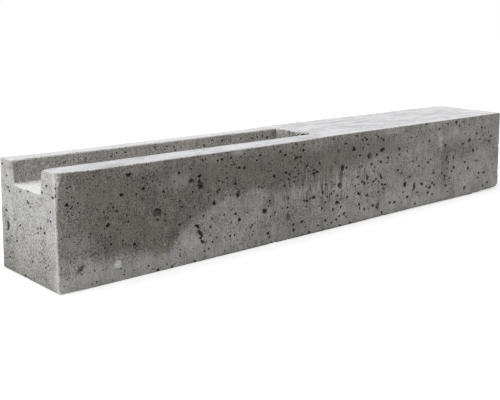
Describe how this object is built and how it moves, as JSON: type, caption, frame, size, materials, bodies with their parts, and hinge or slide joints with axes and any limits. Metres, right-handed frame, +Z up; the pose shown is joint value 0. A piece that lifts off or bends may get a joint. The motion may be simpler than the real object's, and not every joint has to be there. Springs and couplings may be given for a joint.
{
  "type": "fence end post",
  "caption": "Precast concrete fence end post with a board slot along one half of its front face, open at its head, and a plain square foot to set in the ground",
  "frame": {"origin": "Middle of the post's footprint as it lies on its back, on the floor", "axes": "+X runs along the post from its slotted head end to its solid foot end, +Y across it away from the side that was seen, +Z up out of the slot"},
  "size_m": [0.9999, 0.1484, 0.1535],
  "materials": {
    "concrete": "cast concrete, pitted with blow holes, damp-stained on the long side"
  },
  "bodies": {
    "root": {"post": "concrete"}
  },
  "joints": []
}
